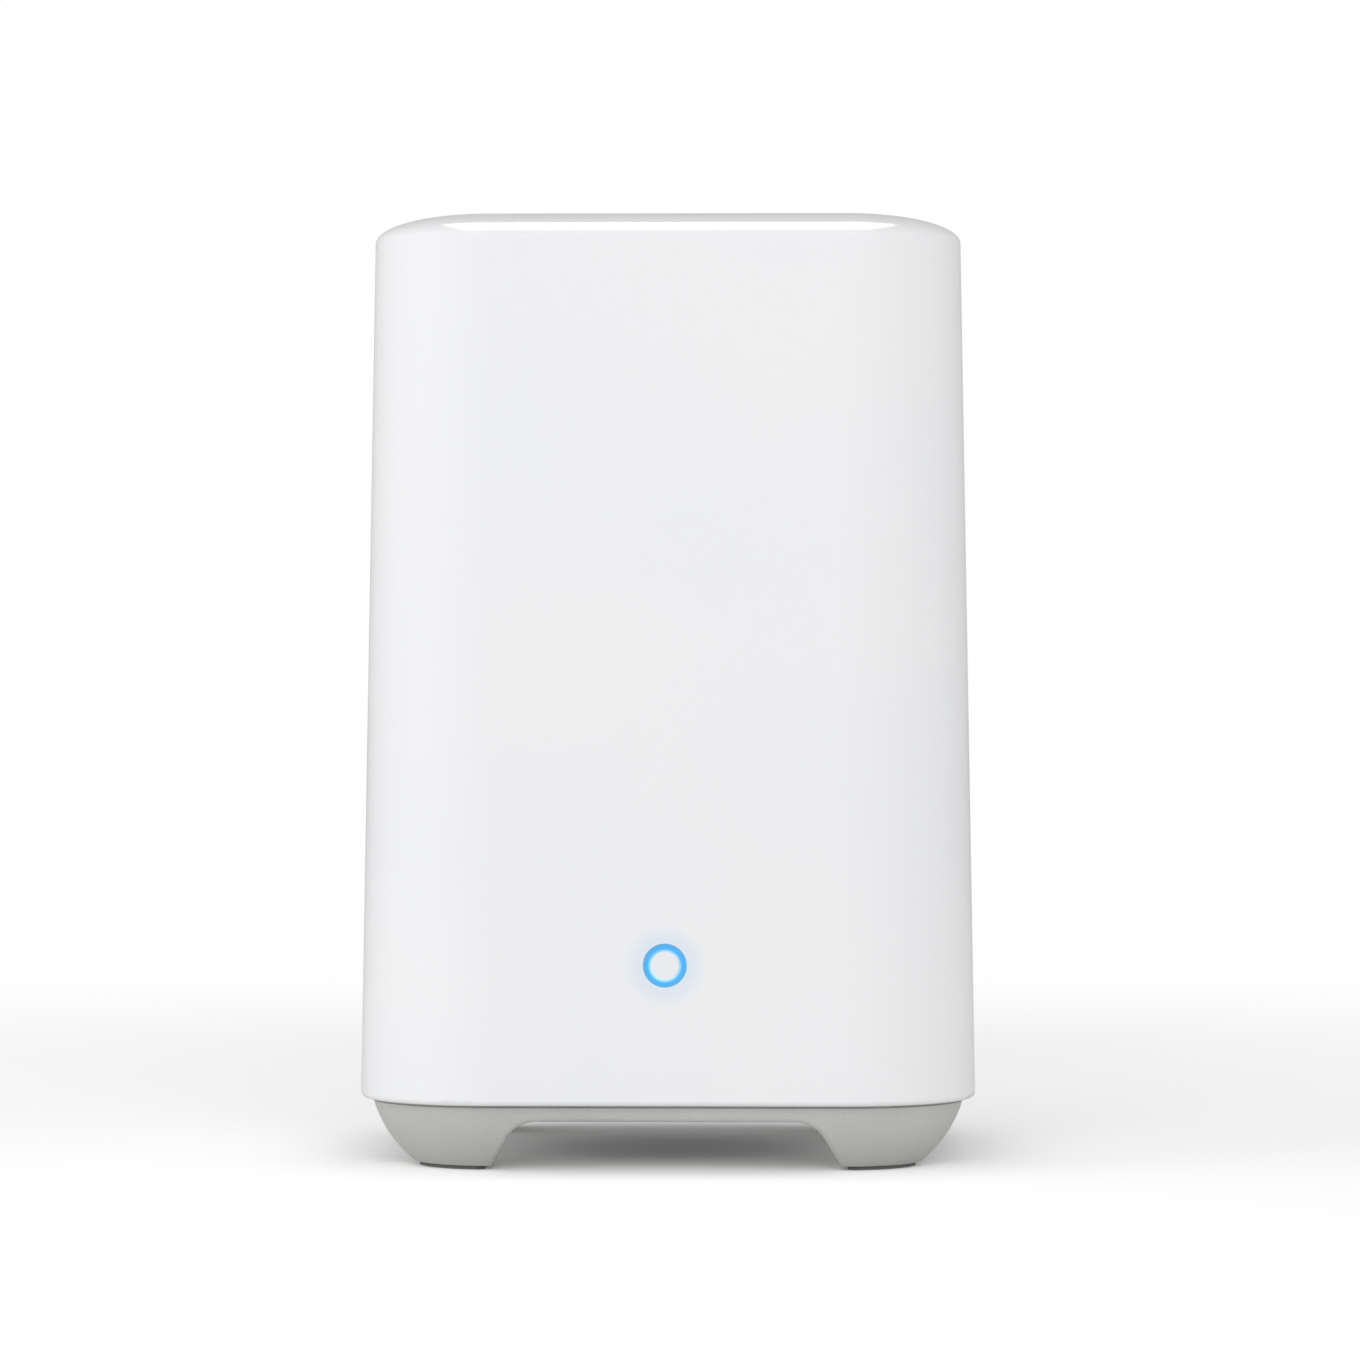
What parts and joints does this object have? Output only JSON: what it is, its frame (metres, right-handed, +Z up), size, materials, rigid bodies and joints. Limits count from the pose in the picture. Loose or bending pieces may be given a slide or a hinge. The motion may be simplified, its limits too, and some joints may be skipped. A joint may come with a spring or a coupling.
{
  "type": "security camera base station",
  "caption": "Tapered rounded square hub with a crowned gloss cover, a ring light low on its front, sockets and a button behind, a siren speaker below and a four footed base.",
  "frame": {"origin": "centre of the underside, on the plane that the foot pads stand on", "axes": "+Z up, the status light faces -Y, the sockets face +Y, +X is to the right as seen from the front"},
  "size_m": [0.0742, 0.0742, 0.1145],
  "materials": {
    "cover_gloss": "moulded, high gloss",
    "base_matt": "moulded, fine matt texture",
    "pad_rubber": "matt",
    "panel_matt": "moulded, fine matt texture",
    "grille_paint": "matt paint on pierced sheet",
    "button_matt": "moulded, satin",
    "frame_moulding": "glass filled moulding",
    "circuit_board": "solder resist over glass fibre",
    "chip_black": "moulded, dull",
    "heat_sink": "extruded, natural",
    "tinned_steel": "tin plated sheet",
    "pressed_steel": "zinc plated",
    "screw_steel": "zinc plated",
    "capacitor_can": "drawn can",
    "header_nylon": "natural nylon",
    "socket_black": "moulded, satin",
    "contact_gold": "gold plated",
    "contact_nickel": "nickel plated",
    "plunger_nylon": "moulded, satin",
    "light_guide": "clear, lit blue",
    "led_lens": "clear epoxy",
    "foam": "closed cell foam",
    "ferrite": "sintered, ground",
    "cone_paper": "pressed pulp",
    "coil_copper": "enamelled copper wire",
    "surround_rubber": "soft, matt",
    "spider_cloth": "stiffened cloth",
    "fibre_board": "pressed fibre",
    "coax_jacket": "smooth jacket",
    "wire_jacket": "smooth jacket",
    "flex_film": "polyimide film"
  },
  "bodies": {
    "hub": {"outer_shell": "cover_gloss", "light_guide": "light_guide", "ring_cap": "cover_gloss", "base_dish": "base_matt", "foot_pads": "pad_rubber", "rear_panel": "panel_matt", "base_screws": "screw_steel", "speaker_grille": "grille_paint", "speaker_gasket": "foam", "speaker_basket": "pressed_steel", "speaker_top_plate": "pressed_steel", "speaker_magnet": "ferrite", "speaker_yoke": "pressed_steel", "speaker_surround": "surround_rubber", "speaker_spider": "spider_cloth", "speaker_terminal": "fibre_board", "speaker_screws": "screw_steel", "inner_frame": "frame_moulding", "frame_screws": "screw_steel", "main_board": "circuit_board", "board_screws": "screw_steel", "soc_chip": "chip_black", "heat_sink": "heat_sink", "wifi_shield": "tinned_steel", "memory_chips": "chip_black", "capacitors": "capacitor_can", "speaker_header": "header_nylon", "antenna_sockets": "contact_gold", "flex_sockets": "header_nylon", "network_shell": "tinned_steel", "network_core": "socket_black", "network_contacts": "contact_gold", "usb_shell": "tinned_steel", "usb_core": "socket_black", "usb_contacts": "contact_gold", "power_jack": "socket_black", "power_pin": "contact_nickel", "power_spring": "contact_nickel", "sync_switch": "socket_black", "reset_switch": "socket_black", "led_board": "circuit_board", "led_screws": "screw_steel", "status_leds": "led_lens", "wifi_antenna": "circuit_board", "band_antenna": "circuit_board", "wifi_coax": "coax_jacket", "band_coax": "coax_jacket", "speaker_lead": "wire_jacket", "led_flex": "flex_film"},
    "sync_button": {"sync_button": "button_matt"},
    "sync_plunger": {"sync_plunger": "plunger_nylon"},
    "reset_plunger": {"reset_plunger": "plunger_nylon"},
    "cone": {"speaker_cone": "cone_paper", "voice_coil": "coil_copper"}
  },
  "joints": [
    {"name": "sync_button_press", "type": "slide", "parent": "hub", "child": "sync_button", "axis": [0, -1, 0], "range_m": [0, 0.0003], "stiffness_N_per_m": 3000, "springref_m": -0.0001},
    {"name": "sync_plunger_press", "type": "slide", "parent": "hub", "child": "sync_plunger", "axis": [0, -1, 0], "range_m": [0, 0.0003]},
    {"name": "reset_plunger_press", "type": "slide", "parent": "hub", "child": "reset_plunger", "axis": [0, -1, 0], "range_m": [0, 0.00025], "stiffness_N_per_m": 3000, "springref_m": -0.0001},
    {"name": "speaker_cone_travel", "type": "slide", "parent": "hub", "child": "cone", "axis": [0, 0, 1], "range_m": [-0.0004, 0.0004], "stiffness_N_per_m": 1500, "deforming": ["speaker_surround", "speaker_spider"]}
  ],
  "couplings": [
    {"joint": "sync_plunger_press", "follows": "sync_button_press", "ratio": 1}
  ]
}
